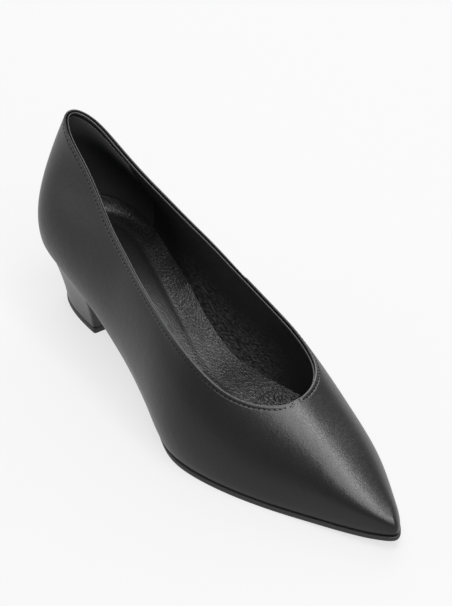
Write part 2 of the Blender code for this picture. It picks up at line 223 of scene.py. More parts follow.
def feather_height(x):
    """Height of the feather line along x, without overshoot, so that level rows stay level."""
    at = np.clip(x, 0.0, LENGTH)
    knots = np.array([row.x for row in FEATHER_HEIGHT])
    z = np.array([row.height for row in FEATHER_HEIGHT])
    step, slope = np.diff(knots), np.diff(z) / np.diff(knots)
    product, total = slope[:-1] * slope[1:], slope[:-1] + slope[1:]
    inner = np.where(product > 0, 2 * product / np.where(total == 0, 1, total), 0.0)
    tangent = np.concatenate([slope[:1], inner, slope[-1:]])
    i = np.clip(np.searchsorted(knots, at, side="right") - 1, 0, len(knots) - 2)
    s = (at - knots[i]) / step[i]
    start = (1 + 2 * s) * (1 - s) ** 2 * z[i] + s * (1 - s) ** 2 * step[i] * tangent[i]
    end = s * s * (3 - 2 * s) * z[i + 1] + s * s * (s - 1) * step[i] * tangent[i + 1]
    return start + end


def section_column(row, side):
    """Four handles of one side of a cross section: x, y and height above the feather line."""
    half = row.lateral if side == LATERAL else row.medial
    full = row.full if side == LATERAL else 0.0
    shoulder = row.shoulder + FULL_SHOULDER * full
    top_y = side * row.gap + row.ridge
    return [
        (row.x, side * half, 0.0),
        (row.x, side * (half + row.bulge), row.rise * (1 + FULL_RISE * full)),
        (row.x, top_y + shoulder * (side * half - row.ridge), row.crown - row.drop),
        (row.x, top_y, row.crown),
    ]


def heel_fan_column(first, back, degrees):
    """A column part of the way round the back, on the ellipse through its two neighbours."""
    along, across = np.sin(np.radians(degrees)), np.cos(np.radians(degrees))
    return [
        (f[0] + (b[0] - f[0]) * along, f[1] * across, f[2] + (b[2] - f[2]) * along ** 2)
        for f, b in zip(first, back)
    ]


class Last:
    """The outer surface of the upper: column position t round the shoe, v from feather to top.

    t = 0 is the toe tip, t rises along the lateral side to the back at half, and returns along the
    medial side. The two sides are spaced alike, so t and -t face each other across the shoe.
    """

    def __init__(self):
        tip = [(h.x, TOE_TIP_Y, h.height) for h in TOE_PROFILE]
        back = [(h.x, 0.0, h.height) for h in BACK_PROFILE]
        sides = {}
        for side in (LATERAL, MEDIAL):
            columns = [section_column(row, side) for row in SECTIONS]
            fan = [heel_fan_column(columns[0], back, angle) for angle in HEEL_FAN]
            sides[side] = columns[::-1] + fan
        loop = np.array([tip] + sides[LATERAL] + [back] + sides[MEDIAL][::-1] + [tip])
        chord = np.linalg.norm(np.diff(loop[:, 0, :2], axis=0), axis=1)
        step = ((chord + chord[::-1]) / 2) ** KNOT_POWER
        knots = np.concatenate([[0.0], np.cumsum(step)])
        self.period, self.half = knots[-1], knots[-1] / 2
        self.handles = Spline(knots, loop, closed=True)
        self.throat = self.column_where(THROAT_X, RIDGE)
        ridge_top = self.point(np.array([self.throat]), np.array([1.0]))[0]
        throat_row = TopRow(ridge_top[0], ridge_top[2] - THROAT_SLOPE * ridge_top[1], THROAT_SLOPE)
        rows = np.array(TOPLINE + (throat_row,))
        self.topline = Spline(rows[:, 0], rows[:, 1:])

    def column_where(self, x, handle):
        """Lateral column of which the given handle lies at x, by halving."""
        low, high = 0.0, self.half
        for _ in range(HALVINGS):
            middle = (low + high) / 2
            ahead = self.handles(np.array([middle])).reshape(4, 3)[handle, 0] > x
            low, high = (middle, high) if ahead else (low, middle)
        return (low + high) / 2

    def column(self, t):
        """The four handles of each column, in the shoe's frame."""
        handles = self.handles(t).reshape(-1, 4, 3)
        facing = self.handles(-np.asarray(t)).reshape(-1, 4, 3)
        vamp = self.turn(t) <= self.throat
        handles[vamp, RIDGE] = (handles[vamp, RIDGE] + facing[vamp, RIDGE]) / 2
        handles[:, :, 2] += feather_height(handles[:, FEATHER, 0])[:, None]
        return handles

    def turn(self, t):
        """Distance in t from the toe tip, on either side."""
        place = np.mod(t, self.period)
        return np.minimum(place, self.period - place)

    def point(self, t, v):
        handles, v = self.column(t), np.asarray(v, float)[:, None]
        weights = [(1 - v) ** 3, 3 * v * (1 - v) ** 2, 3 * v * v * (1 - v), v ** 3]
        return sum(w * handles[:, k] for k, w in enumerate(weights))

    def slopes(self, t, v):
        """Change of the surface point with t and with v."""
        t, v = np.asarray(t, float), np.minimum(v, RIDGE_V)
        step = STEP_T * self.period
        low, high = np.clip(v - STEP_V, 0, 1), np.clip(v + STEP_V, 0, 1)
        along = (self.point(t + step, v) - self.point(t - step, v)) / (2 * step)
        up = (self.point(t, high) - self.point(t, low)) / (high - low)[:, None]
        return along, up

    def normal(self, t, v):
        along, up = self.slopes(t, v)
        return unit(np.cross(up, along))

    def wall(self, t, v, depth):
        """Points at a depth inside the outer surface."""
        return self.point(t, v) - np.reshape(depth, (-1, 1)) * self.normal(t, v)

    def top_shares(self, t):
        """Share v of each column at which it meets the topline; one all along the vamp ridge."""
        v = np.linspace(0, 1, TOP_SAMPLES)
        grid = self.point(np.repeat(t, len(v)), np.tile(v, len(t)))
        middle, slope = self.topline(grid[:, 0]).T
        above = (grid[:, 2] - middle - slope * grid[:, 1]).reshape(len(t), len(v))
        first = np.maximum(np.argmax(above > 0, axis=1), 1)
        place = np.arange(len(t))
        before, after = above[place, first - 1], above[place, first]
        share = v[first - 1] + (v[first] - v[first - 1]) * before / (before - after)
        open_top = (above > 0).any(axis=1) & (self.turn(t) > self.throat + STEP_T)
        return np.where(open_top, share, 1.0)


def roll_under(points):
    """How far the wall turns in above the feather line, where it is drawn under the last."""
    rise = np.clip(points[:, 2] - feather_height(points[:, 0]), 0, ROLL_RISE)
    reach = ROLL_HEEL + (ROLL_FOREFOOT - ROLL_HEEL) * smooth_step(points[:, 0], *WAIST_X)
    return reach * (1 - np.sqrt(1 - (1 - rise / ROLL_RISE) ** 2))


def spread(start, stop, count, crowd):
    """Positions from start to stop, crowded towards both ends."""
    s = np.linspace(0, 1, count + 1)
    return start + (stop - start) * (s - crowd * np.sin(2 * np.pi * s) / (2 * np.pi))


def spread_behind(start, stop, count):
    """Positions from start to stop, close together at the start, where the topline turns fastest."""
    s = np.linspace(0, 1, count + 1)
    return start + (stop - start) * s * s * (1 + QUARTER_EASE - QUARTER_EASE * s)


class Collar:
    """Columns round the whole shoe, the topline along them, and the way inwards from the topline."""

    def __init__(self, last, vamp_count, quarter_count):
        self.last, self.vamp = last, vamp_count
        vamp = spread(0.0, last.throat, vamp_count, VAMP_CROWD)
        quarter = spread_behind(last.throat, last.half, quarter_count)
        lateral = np.concatenate([vamp, quarter[1:]])
        self.t = np.concatenate([lateral, last.period - lateral[-2:0:-1]])
        self.count = len(self.t)
        self.top = last.top_shares(self.t)
        self.open = np.arange(vamp_count, self.count - vamp_count + 1)
        self.facing = -np.arange(self.count) % self.count
        self.ridge = np.array([k for k in range(self.count) if min(k, self.count - k) <= vamp_count])
        t, v = self.t[self.open], self.top[self.open]
        self.edge = last.point(t, v)
        self.edge[[0, -1]] = self.edge[[0, -1]].mean(axis=0)
        normal = last.normal(t, v)
        normal[[0, -1]] = unit(normal[[0, -1]].mean(axis=0))
        loop = np.vstack([self.edge[-2], self.edge, self.edge[1]])
        self.run = unit(loop[2:] - loop[:-2])
        self.across = unit(np.cross(normal, self.run))
        self.across *= np.sign(self.across[len(t) // 2, 2] * -1)
        along, up = last.slopes(t, v)
        aa, au, uu = [(p * q).sum(axis=1) for p, q in ((along, along), (along, up), (up, up))]
        ca, cu = [(p * self.across).sum(axis=1) for p in (along, up)]
        whole = aa * uu - au ** 2
        self.step_t, self.step_v = (uu * ca - au * cu) / whole, (aa * cu - au * ca) / whole
        ridge_step = 1 / np.sqrt(aa[[0, -1]])
        self.step_t[[0, -1]] = ridge_step * (-1, 1)
        self.step_v[[0, -1]] = 0.0

    def inset_place(self, inset):
        """Surface places at a distance in from the topline, one for each open column."""
        t = self.t[self.open] + inset * self.step_t
        v = np.minimum(self.top[self.open] + inset * self.step_v, 1.0)
        return t, v

    def inset(self, inset, depth):
        """Points at a distance in from the topline and a depth inside the outer surface."""
        points = self.last.wall(*self.inset_place(inset), depth)
        points[[0, -1]] = points[[0, -1]].mean(axis=0)
        return points

    def level(self, share, inset):
        """Surface places of one row of a skin that ends at an inset from the topline."""
        top_t, top_v = self.t.copy(), np.ones(self.count)
        top_t[self.open], top_v[self.open] = self.inset_place(inset)
        vamp_share = top_t[self.vamp] / self.last.throat
        front = self.ridge[(self.ridge < self.vamp) | (self.ridge > self.count - self.vamp)]
        side = np.where(front < self.vamp, self.t[front], self.t[front] - self.last.period)
        top_t[front] = np.mod(side * vamp_share, self.last.period)
        swing = np.mod(top_t - self.t + self.last.half, self.last.period) - self.last.half
        return self.t + swing * share, top_v * share

    def join_ridge(self, points):
        """A row of points with its two sides brought together along the vamp ridge."""
        joined = points.copy()
        joined[self.ridge] = (points[self.ridge] + points[self.facing[self.ridge]]) / 2
        return joined

    def skin_row(self, share, inset, depth):
        """One row of points of a skin; the last row closes along the vamp ridge."""
        t, v = self.level(share, inset)
        points = self.last.wall(t, v, depth + roll_under(self.last.point(t, v)))
        return self.join_ridge(points) if share == 1.0 else points

    def distance(self, points):
        """Distance of points from the topline."""
        gaps = np.linalg.norm(points[:, None] - self.edge[None], axis=2)
        return gaps.min(axis=1)


LAST = Last()


# Meshes


MARK = "crinkled"             # attribute that tells a material where a piece is crinkled, and where painted glints and painted sheen go
MERGE_DISTANCE = 2e-6         # in metres
SHARP_ANGLE = np.radians(50)


class Loft:
    """Gathers rows of points, in millimetres, and the strips of faces between them into one mesh."""

    def __init__(self):
        self.rows, self.marks, self.faces, self.count = [], [], [], 0

    def lay(self, points, mark=0.0):
        """Add a row of points, each with a mark from zero to one that its material can read."""
        index = np.arange(self.count, self.count + len(points))
        self.rows.append(points)
        self.marks.append(np.broadcast_to(mark, len(points)))
        self.count += len(points)
        return index

    def strip(self, low, high, closed=True):
        """Quads between two rows."""
        following = [np.roll(row, -1) for row in (low, high)]
        quads = np.stack([low, following[0], following[1], high], axis=1)
        self.faces.extend((quads if closed else quads[:-1]).tolist())

    def fan(self, hub, row):
        """Triangles from one point to each step of a row."""
        self.faces.extend((int(hub), int(a), int(b)) for a, b in zip(row, row[1:]))

    def close(self, ring, points):
        """Close a ring by a fan round its middle."""
        hub = self.lay(points.mean(axis=0)[None])[0]
        self.fan(hub, np.append(ring, ring[0]))

    def close_both(self, index, rows):
        """Close the first and the last ring of a stack."""
        for end in (0, -1):
            self.close(index[end], rows[end])

    def rib(self, ring):
        """Close a ring whose place k faces place -k-1 by ribs across."""
        half = len(ring) // 2
        self.strip(ring[:half], ring[::-1][:half], closed=False)

    def stack(self, rows, closed=True, marks=None):
        """Lay rows one after the other with strips between, and return their indices."""
        index = [self.lay(row, 0.0 if marks is None else marks[k]) for k, row in enumerate(rows)]
        for low, high in zip(index, index[1:]):
            self.strip(low, high, closed)
        return index

    def piece(self, name, material):
        """The finished object: doubles merged, normals out, shaded smooth up to a sharp angle."""
        mesh = bpy.data.meshes.new(name)
        points = (np.vstack(self.rows) + ORIGIN) * MM
        mesh.from_pydata(points.tolist(), [], self.faces)
        marks = mesh.attributes.new(MARK, "FLOAT", "POINT")
        marks.data.foreach_set("value", np.concatenate(self.marks))
        shape = bmesh.new()
        shape.from_mesh(mesh)
        bmesh.ops.remove_doubles(shape, verts=shape.verts, dist=MERGE_DISTANCE)
        bmesh.ops.recalc_face_normals(shape, faces=shape.faces)
        if shape.calc_volume(signed=True) < 0:
            bmesh.ops.reverse_faces(shape, faces=shape.faces)
        shape.to_mesh(mesh)
        shape.free()
        mesh.shade_smooth()
        mesh.set_sharp_from_angle(angle=SHARP_ANGLE)
        mesh.materials.append(material)
        piece = bpy.data.objects.new(name, mesh)
        bpy.context.collection.objects.link(piece)
        return piece


# Materials


def set_inputs(tree, node, inputs):
    """Give a node's inputs their values, or links: a node stands for its first output in use."""
    for name, value in inputs.items():
        if isinstance(value, bpy.types.Node):
            value = next(socket for socket in value.outputs if socket.enabled)
        if isinstance(value, bpy.types.NodeSocket):
            tree.links.new(value, node.inputs[name])
        else:
            node.inputs[name].default_value = value


def add_node(tree, kind, inputs=None, **settings):
    """Add a shader node with its settings and its inputs."""
    node = tree.nodes.new("ShaderNode" + kind)
    for name, value in settings.items():
        setattr(node, name, value)
    set_inputs(tree, node, inputs or {})
    return node


def finish(surface):
    """Turn a function that works out a shader's inputs into one that makes its material, once."""
    name = surface.__name__

    def material(*settings):
        if name not in bpy.data.materials:
            made = bpy.data.materials.new(name)
            made.use_nodes = True
            tree = made.node_tree
            place = add_node(tree, "TexCoord").outputs["Object"]
            set_inputs(tree, tree.nodes["Principled BSDF"], surface(tree, place, *settings))
        return bpy.data.materials[name]

    return material


def spacing(millimetres):
    """Scale of a pattern whose features are this far apart."""
    return 1 / (millimetres * MM)


@finish
def smooth_calf_leather_black(tree, place, colours):
    """Smooth calf, plated and lightly waxed: an almost black skin with a soft, broad sheen. Pores
    and fine grain break the sheen up a little, so highlights look dusty and not like lacquer."""
    # Pores and grain 0.9 mm apart: finer ones are lost between the picture's points
    pores = add_node(tree, "TexVoronoi", {"Vector": place, "Scale": spacing(0.9)})
    grain = add_node(tree, "TexNoise", {
        "Vector": place, "Scale": spacing(0.9), "Detail": 3.0, "Roughness": 0.6})
    folds = add_node(tree, "TexNoise", {"Vector": place, "Scale": spacing(4), "Detail": 2.0})
    clouds = add_node(tree, "TexNoise", {"Vector": place, "Scale": spacing(14), "Detail": 2.0})
    tint = add_node(tree, "Mix", {
        "Factor": clouds, "A": (*colours.leather, 1), "B": (*colours.leather_worn, 1)}, data_type="RGBA")
    gloss = add_node(tree, "MapRange", {
        "Value": grain, "From Min": 0.3, "From Max": 0.7, "To Min": 0.31, "To Max": 0.39})
    folded = add_node(tree, "Bump", {"Height": folds, "Strength": 0.45, "Distance": 0.2 * MM})
    grained = add_node(tree, "Bump", {
        "Height": grain, "Strength": 0.45, "Distance": 0.15 * MM, "Normal": folded})
    pitted = add_node(tree, "Bump", {
        "Height": pores, "Strength": 0.25, "Distance": 0.05 * MM, "Normal": grained})
    return {"Base Color": tint, "Roughness": gloss, "Normal": pitted, "IOR": 1.4}


@finish
def drum_dyed_lining_leather_black(tree, place, colours):
    """Split leather lining, drum dyed and unwaxed: deep black with little sheen, finely crinkled
    along the foot where it was pulled over the last. Where it is crinkled, its crests are painted
    lighter as painted glints."""
    mark = add_node(tree, "Attribute", attribute_name=MARK).outputs["Fac"]
    depth = add_node(tree, "MapRange", {"Value": mark, "To Min": 0.1, "To Max": 1.0})
    stretched = add_node(tree, "Mapping", {
        "Vector": place, "Rotation": (0.0, 0.35, 0.0), "Scale": (0.25, 1.0, 1.0)})
    # Crinkles 0.65 mm apart: finer ones are lost between the picture's points
    crinkle = add_node(tree, "TexNoise", {"Vector": stretched, "Scale": spacing(0.65), "Detail": 2.0})
    mottle = add_node(tree, "TexNoise", {"Vector": place, "Scale": spacing(7), "Detail": 3.0})
    # painted glints: the crinkles' crests are painted lighter, as far as the mark reaches
    crests = add_node(tree, "MapRange", {
        "Value": crinkle, "From Min": 0.4, "From Max": 0.7, "To Max": mark})
    tint = add_node(tree, "Mix", {
        "Factor": crests, "A": (*colours.lining, 1), "B": (*colours.lining_worn, 1)}, data_type="RGBA")
    gloss = add_node(tree, "MapRange", {"Value": mottle, "To Min": 0.38, "To Max": 0.5})
    relief = add_node(tree, "Bump", {"Height": crinkle, "Strength": depth, "Distance": 0.4 * MM})
    return {"Base Color": tint, "Roughness": gloss, "Normal": relief, "IOR": 1.45}


@finish
def sueded_grip_leather_black(tree, place, colours):
    """Sueded split leather of the heel grip: dull black, with a short nap. Near the rim and to the
    medial side it is painted lighter, a painted sheen where it bends towards the light."""
    mark = add_node(tree, "Attribute", attribute_name=MARK).outputs["Fac"]
    # painted sheen: lighter colour near the rim and to the medial side, as far as the mark reaches
    tint = add_node(tree, "Mix", {
        "Factor": mark, "A": (*colours.grip, 1), "B": (*colours.grip_worn, 1)}, data_type="RGBA")
    # Nap 0.8 mm apart: finer hairs are lost between the picture's points
    nap = add_node(tree, "TexNoise", {"Vector": place, "Scale": spacing(0.8), "Detail": 2.0})
    relief = add_node(tree, "Bump", {"Height": nap, "Strength": 0.3, "Distance": 0.1 * MM})
    return {"Base Color": tint, "Roughness": 0.7, "Normal": relief, "IOR": 1.4}


@finish
def glazed_goatskin_sock_black(tree, place, colours):
    """Goatskin sock, glazed and glued down: a satin gloss, with crinkles that run down the foot and
    catch the light as short strokes. At the front the crinkles' crests are painted lighter, as painted
    glints."""
    mark = add_node(tree, "Attribute", attribute_name=MARK).outputs["Fac"]
    depth = add_node(tree, "MapRange", {"Value": mark, "To Min": 0.14, "To Max": 0.9})
    warp = add_node(tree, "TexNoise", {"Vector": place, "Scale": spacing(9), "Detail": 2.0})
    bent = add_node(tree, "VectorMath", {
        0: warp.outputs["Color"], 1: (3 * MM, 3 * MM, 0.0), 2: place}, operation="MULTIPLY_ADD")
    stretched = add_node(tree, "Mapping", {"Vector": bent, "Scale": (0.45, 1.0, 0.6)})
    # Crinkles 0.6 mm apart: the real ones, half as far apart, are lost between the picture's points
    crinkle = add_node(tree, "TexNoise", {"Vector": stretched, "Scale": spacing(0.6), "Detail": 1.0})
    mottle = add_node(tree, "TexNoise", {"Vector": place, "Scale": spacing(12), "Detail": 3.0})
    # painted glints: past a half of the mark, at the forefoot, the crinkles' crests are painted lighter
    glint_share = add_node(tree, "MapRange", {"Value": mark, "From Min": 0.5})
    crests = add_node(tree, "MapRange", {
        "Value": crinkle, "From Min": 0.42, "From Max": 0.62, "To Max": glint_share})
    tint = add_node(tree, "Mix", {
        "Factor": crests, "A": (*colours.sock, 1), "B": (*colours.sock_worn, 1)}, data_type="RGBA")
    gloss = add_node(tree, "MapRange", {"Value": mottle, "To Min": 0.4, "To Max": 0.5})
    relief = add_node(tree, "Bump", {"Height": crinkle, "Strength": depth, "Distance": 0.9 * MM})
    return {"Base Color": tint, "Roughness": gloss, "Normal": relief, "IOR": 1.54}


@finish
def pressed_rubber_sole_black(tree, place, colours):
    """Pressed rubber sheet with a buffed edge: dull black, with a fine even sand grain."""
    # Sand 0.8 mm apart: finer grains are lost between the picture's points
    sand = add_node(tree, "TexNoise", {
        "Vector": place, "Scale": spacing(0.8), "Detail": 3.0, "Roughness": 0.6})
    tint = add_node(tree, "Mix", {
        "Factor": sand, "A": (*colours.sole, 1), "B": (*colours.sole_worn, 1)}, data_type="RGBA")
    gloss = add_node(tree, "MapRange", {"Value": sand, "To Min": 0.5, "To Max": 0.68})
    relief = add_node(tree, "Bump", {"Height": sand, "Strength": 0.5, "Distance": 0.08 * MM})
    return {"Base Color": tint, "Roughness": gloss, "Normal": relief, "IOR": 1.5}


@finish
def twisted_polyester_thread_black(tree, place, colours):
    """Twisted polyester thread: dull black, ribbed across by its twist. Its colour is set darker than
    the leather, partly as painted shade of the stitch holes.
    """
    twist = add_node(tree, "TexNoise", {"Vector": place, "Scale": spacing(0.4)})
    gloss = add_node(tree, "MapRange", {"Value": twist, "To Min": 0.6, "To Max": 0.8})
    relief = add_node(tree, "Bump", {"Height": twist, "Strength": 0.5, "Distance": 0.05 * MM})
    return {
        "Base Color": (*colours.thread, 1), "Roughness": gloss, "Normal": relief, "IOR": 1.45,
        "Specular IOR Level": 0.15}


@finish
def sanded_opal_acrylic_white(tree, place, colours, glow):
    """Opal acrylic light table, sanded and lit a little from below: pale, flat and without gloss, so
    that only faint shadows lie on it."""
    sanding = add_node(tree, "TexNoise", {"Vector": place, "Scale": spacing(3), "Detail": 2.0})
    gloss = add_node(tree, "MapRange", {"Value": sanding, "To Min": 0.9, "To Max": 1.0})
    return {
        "Base Color": (*colours.floor, 1), "Roughness": gloss, "IOR": 1.49, "Specular IOR Level": 0.1,
        "Emission Color": (1, 1, 1, 1), "Emission Strength": glow}


# Settings


def size(name, millimetres, description):
    return FloatProperty(name=name, description=description, default=millimetres * MM, min=0.0,
                         unit="LENGTH", precision=5)


def colour(name, code, description):
    return FloatVectorProperty(name=name, description=description, default=linear(code), size=3,
                               min=0.0, max=1.0, subtype="COLOR")


class PumpSizes(bpy.types.PropertyGroup):
    """Sizes of what is sewn, glued and folded on the last."""

    leather: size("Leather", 1.15, "Thickness of the outer leather")
    stitch_inset: size("Stitch inset", 1.3, "Distance of the topline stitching from the edge")
    stitch_pitch: size("Stitch pitch", 2.4, "Distance from one stitch to the next")
    thread: size("Thread", 0.5, "Thickness of the thread")
    grip: size("Heel grip", 0.15, "Thickness of the heel grip")


class PumpColours(bpy.types.PropertyGroup):
    """Colours of the finishes."""

    leather: colour("Leather", "#0B0B0B", "Calf leather of the upper and the heel")
    leather_worn: colour("Leather, paler", "#0F0F0F", "Paler clouds in the calf leather")
    lining: colour("Lining", "#131314", "Lining leather")
    # painted glints: lighter colour on the crests of the lining's crinkles
    lining_worn: colour("Lining, paler", "#464647", "Crests of the lining's crinkles, painted lighter as glints")
    grip: colour("Heel grip", "#1E1E1F", "Sueded heel grip")
    # painted sheen: lighter colour of the heel grip near the rim
    grip_worn: colour("Heel grip, paler", "#5A5A5C", "Painted sheen of the heel grip, near the rim")
    sock: colour("Sock", "#0D0D0E", "Sock leather")
    # painted glints: lighter colour on the crests of the sock's crinkles at its front
    sock_worn: colour("Sock, paler", "#505052", "Crests of the sock's crinkles at its front, painted lighter as glints")
    sole: colour("Sole", "#101010", "Sole and top lift")
    sole_worn: colour("Sole, paler", "#181818", "Paler specks in the sole")
    # thread colour: black thread, set darker than the leather, partly as painted shade of the stitch
    # holes
    thread: colour("Thread", "#040404", "Sewing thread")
    floor: colour("Floor", "#505050", "Floor panel, without its own light")


def power(name, watts, description):
    return FloatProperty(name=name, description=description, default=watts, min=0.0, unit="POWER")


def strength(name, value, description):
    return FloatProperty(name=name, description=description, default=value, min=0.0, subtype="FACTOR")


class PumpStage(bpy.types.PropertyGroup):
    """Light and floor."""

    floor_size: size("Floor", 6000.0, "Side of the floor")
    floor_glow: strength("Floor glow", 0.72, "Strength of the light from inside the floor panel")
    top_power: power("Top light", 60.0, "Power of the wide softbox above the shoe")
    key_power: power("Key light", 7.8, "Power of the small softbox on the medial side")
    back_power: power("Back light", 35.0, "Power of the softbox high behind the heel")
    fill_power: power("Fill light", 10.0, "Power of the low softbox behind the lateral side")
    sky: strength("Sky", 0.35, "Strength of the light from all round")


# Softboxes: width, depth and place in metres
Softbox = namedtuple("Softbox", "name width depth place")
SOFTBOXES = (
    Softbox("top", 1.3, 2.2, (0.8, -0.2, 1.5)),
    Softbox("key", 0.55, 0.36, (0.17, 0.33, 1.45)),
    Softbox("back", 1.5, 1.4, (-1.0, 0.85, 1.05)),
    Softbox("fill", 1.6, 1.0, (-1.4, -0.9, 0.8)),
)
LIGHT_TARGET = (0.0, 0.0, 0.04)


# Upper


# Columns of each piece along the vamp and along the quarter
UPPER_COLUMNS = (90, 190)
LINING_COLUMNS = (80, 230)
BOTTOM_COLUMNS = (60, 110)
SOCK_COLUMNS = (90, 300)

# Shares of the wall's height for the rows of a skin, close together at the edges of the outer one
UPPER_ROWS = np.concatenate([
    np.linspace(0, 0.05, 9), np.linspace(0.065, 0.9, 34), np.linspace(0.905, 1, 20),
])
LINING_FOOT = 0.02
LINING_ROWS = np.linspace(LINING_FOOT, 1, 61)
HIDDEN_ROWS = 9

EDGE_RISE = 0.75              # how far the folded leather edge stands above the topline
LINING_BACK = 1.5             # the lining lies from this far inside the outer surface
LINING_DEPTH = 2.5            # to this far
LINING_INSET = -0.1           # below zero: its rounded edge starts this far above the topline
LINING_RISE = 0.5             # and stands up this far

# Soft hills and hollows of the outer leather, the first two by the distance from the topline
Hill = namedtuple("Hill", "middle width height")
EDGE_SWELL = Hill(0.4, 0.5, 0.05)
STITCH_CHANNEL = Hill(1.25, 0.4, -0.2)
WAIST_HOLLOW = Hill(116.0, 22.0, -1.1)
HOLLOW_RISE = 16.0            # height above the feather line at which the waist's hollow ends

# Lapped seam on the medial side: its top, its lean, and the step down behind it, which fades out
SEAM_X, SEAM_Z, SEAM_LEAN = 122.0, 58.0, 0.15
SEAM_STEP, SEAM_EASE, SEAM_FADE, SEAM_END = 0.45, 0.35, 14.0, 60.0

Crease = namedtuple("Crease", "start end height width")


def hill(value, shape):
    return shape.height * bump_curve(value, shape.middle, shape.width)


def crease_relief(creases, along, across):
    """Soft troughs, below zero, and ridges along given straight lines on a surface."""
    relief = np.zeros(len(along))
    for crease in creases:
        start, run = np.array(crease.start), np.subtract(crease.end, crease.start)
        a, b = along - start[0], across - start[1]
        share = np.clip((a * run[0] + b * run[1]) / (run @ run), 0, 1)
        gap = np.hypot(a - share * run[0], b - share * run[1])
        relief += crease.height * bump_curve(gap, 0.0, crease.width)
    return relief


def upper_relief(collar, points):
    """How far the outer leather stands out from the last: folded edge, stitch channel, turned-in
    lower edge, hollow of the lateral waist and the lapped seam on the medial side."""
    x, y, z = points.T
    inset = collar.distance(points)
    relief = hill(inset, EDGE_SWELL) + hill(inset, STITCH_CHANNEL) - roll_under(points)
    low = 1 - smooth_step(z - feather_height(x), 0, HOLLOW_RISE)
    relief = relief + hill(x, WAIST_HOLLOW) * low * (y < 0)
    behind = SEAM_X - SEAM_LEAN * (SEAM_Z - z) - x
    lap = smooth_step(behind, -SEAM_EASE, SEAM_EASE) * np.exp(-np.maximum(behind, 0) / SEAM_FADE)
    return relief - SEAM_STEP * lap * (y > 0) * (x > SEAM_END)


def fold_over(loft, collar, outer, inner, rise, steps):
    """Rounded edge over the open topline, from an outer skin's last row to an inner skin's."""
    points = np.vstack(loft.rows)
    edge_out, edge_in = [points[skin[-1]][collar.open] for skin in (outer, inner)]
    middle, reach = (edge_out + edge_in) / 2, (edge_out - edge_in) / 2
    angles = np.linspace(0, np.pi, steps + 1)[1:-1]
    rows = [middle + np.cos(a) * reach - np.sin(a) * rise * collar.across for a in angles]
    rim = loft.stack(rows, closed=False)
    loft.strip(outer[-1][collar.open], rim[0], closed=False)
    loft.strip(rim[-1], inner[-1][collar.open], closed=False)


def build_upper(sizes, material):
    """Outer leather: outer skin, folded edge at the topline, hidden inner skin."""
    collar = Collar(LAST, *UPPER_COLUMNS)
    leather = sizes.leather / MM
    loft, skin = Loft(), []
    for share in UPPER_ROWS:
        t, v = collar.t, collar.top * share
        points = LAST.point(t, v)
        points = points + upper_relief(collar, points)[:, None] * LAST.normal(t, v)
        skin.append(collar.join_ridge(points) if share == 1.0 else points)
    outer = loft.stack(skin)
    hidden = np.linspace(0, 1, HIDDEN_ROWS)
    inner = loft.stack([collar.skin_row(share, 0.0, leather) for share in hidden])
    loft.strip(outer[0], inner[0])
    fold_over(loft, collar, outer, inner, EDGE_RISE, steps=10)
    return loft.piece("upper_leather", material)


# Lining and heel grip


# Wrinkles of the lining on the medial wall by the waist: x and height above the feather line
LINING_CREASES = (
    Crease((84, 15.0), (97, 10.5), -0.22, 0.8),
    Crease((88, 18.0), (104, 11.5), 0.2, 0.9),
    Crease((92, 8.0), (108, 6.0), -0.22, 0.8),
    Crease((98, 14.0), (113, 8.5), -0.24, 0.9),
    Crease((104, 17.0), (120, 10.5), 0.2, 1.0),
    Crease((108, 9.0), (122, 5.5), -0.22, 0.8),
    Crease((114, 13.5), (127, 9.0), -0.22, 0.8),
    Crease((120, 8.0), (134, 5.0), 0.18, 0.8),
    Crease((122, 15.0), (136, 10.5), -0.2, 0.9),
)

# Where the lining is crinkled, with painted glints on its crests: between these places along x, to the
# medial side, and low down
CRINKLE_BEGINS, CRINKLE_ENDS = (55, 85), (118, 150)
CRINKLE_SIDE, CRINKLE_TOP = (0, 6), (12, 34)
TOE_THINNING, TOE_X = 0.7, (225, 255)      # the lining lies this much less deep in the toe

GRIP_FRONT = (34.5, 43.0)     # x of the heel grip's front edge, at the sock and at the top
GRIP_DROP = 2.0               # the grip ends this far below the topline
GRIP_FOOT = 0.04              # and starts at this share of the wall's height
GRIP_GAP = 0.02               # clearance between the grip and the lining
GRIP_COLUMNS, GRIP_ROWS = 161, 40
GRIP_PAINTED_SHEEN, GRIP_PAINTED_SHEEN_SIDE = (0.7, 1.0), (-4, 10)     # painted sheen: the grip's colour is lighter upwards and to the medial side


def lining_face(collar, share):
    """One row of the lining's face, and how crinkled each place is, which also sets its painted glints.
    """
    x, y, z = LAST.point(*collar.level(share, LINING_INSET)).T
    rise = z - feather_height(x)
    medial = smooth_step(y, *CRINKLE_SIDE)
    relief = crease_relief(LINING_CREASES, x, rise) * medial
    waist = smooth_step(x, *CRINKLE_BEGINS) * (1 - smooth_step(x, *CRINKLE_ENDS))
    mark = waist * medial * (1 - smooth_step(rise, *CRINKLE_TOP))
    depth = LINING_DEPTH - TOE_THINNING * smooth_step(x, *TOE_X) + relief
    return collar.skin_row(share, LINING_INSET, depth), mark


def build_lining(material):
    """Lining: a thin skin inside the leather, with a rounded edge beside the folded one."""
    collar = Collar(LAST, *LINING_COLUMNS)
    loft = Loft()
    rows, marks = zip(*[lining_face(collar, share) for share in LINING_ROWS])
    face = loft.stack(rows, marks=marks)
    hidden = np.linspace(LINING_FOOT, 1, HIDDEN_ROWS)
    back = loft.stack([collar.skin_row(share, LINING_INSET, LINING_BACK) for share in hidden])
    loft.strip(face[0], back[0])
    fold_over(loft, collar, back, face, LINING_RISE, steps=8)
    return loft.piece("lining", material)


